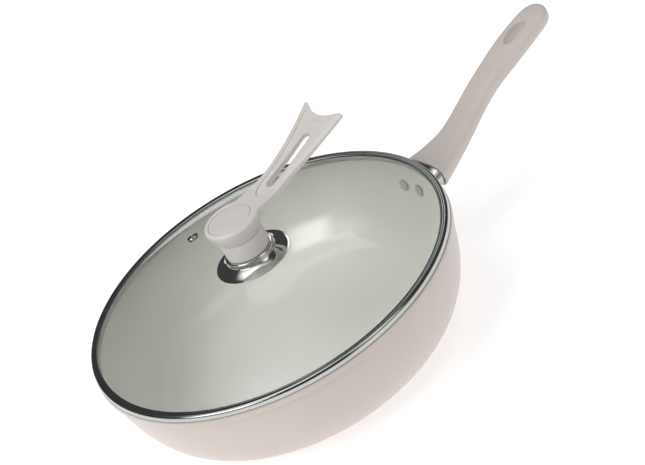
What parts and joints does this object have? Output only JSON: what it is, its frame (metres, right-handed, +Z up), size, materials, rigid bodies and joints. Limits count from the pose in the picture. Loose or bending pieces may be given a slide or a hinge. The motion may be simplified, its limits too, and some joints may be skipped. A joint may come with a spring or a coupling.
{
  "type": "deep pan with glass lid",
  "caption": "Deep round coated pan with a long riveted handle and a domed glass lid, whose knob has a forked arm that lets the lid stand upright.",
  "frame": {"origin": "centre of the underside of the pan's base, on the surface it rests on", "axes": "+Z up, +X from the pan's centre out along the handle, with the knob's arm over it; the lid's steam vent is towards +Y"},
  "size_m": [0.467, 0.301, 0.1631],
  "materials": {
    "pan_coating": "satin ceramic coating, warm sand pink outside, pale sage white inside",
    "base_steel": "brushed induction plate",
    "rivet_coating": "rivets coated with the inside of the pan",
    "cast_bracket": "as cast",
    "guard_steel": "polished",
    "handle_soft_touch": "soft-touch matt",
    "screw_steel": "zinc plated",
    "handle_screw_steel": "zinc plated",
    "arm_screw_steel": "zinc plated",
    "lid_glass": "clear tempered glass, slightly green at its edge",
    "band_steel": "satin stainless band",
    "saucer_chrome": "mirror polished",
    "seal_silicone": "matt silicone",
    "insert_brass": "turned brass",
    "knob_plastic": "satin moulded",
    "arm_plastic": "satin moulded",
    "cover_plastic": "satin moulded"
  },
  "bodies": {
    "pan": {"pan_body": "pan_coating", "base_plate": "base_steel", "rivet_left": "rivet_coating", "rivet_right": "rivet_coating", "handle_bracket": "cast_bracket", "flame_guard": "guard_steel", "handle": "handle_soft_touch", "handle_screw": "handle_screw_steel", "handle_washer": "handle_screw_steel"},
    "lid": {"lid_glass": "lid_glass", "lid_band": "band_steel", "vent_grommet": "band_steel", "knob_base": "saucer_chrome", "knob_seal_upper": "seal_silicone", "knob_seal_lower": "seal_silicone"},
    "knob": {"knob_neck": "knob_plastic", "knob_arm": "arm_plastic", "knob_cover": "cover_plastic", "arm_screw_front": "arm_screw_steel", "arm_screw_back": "arm_screw_steel", "knob_insert": "insert_brass", "knob_screw": "screw_steel", "knob_washer": "screw_steel"}
  },
  "joints": [
    {"name": "lid_lift", "type": "slide", "parent": "pan", "child": "lid", "axis": [0, 0, 1], "range_m": [0, 0.15]},
    {"name": "knob_turn", "type": "hinge", "parent": "lid", "child": "knob", "pos_m": [0, 0, 0.104], "axis": [0, 0, 1], "continuous": true}
  ]
}
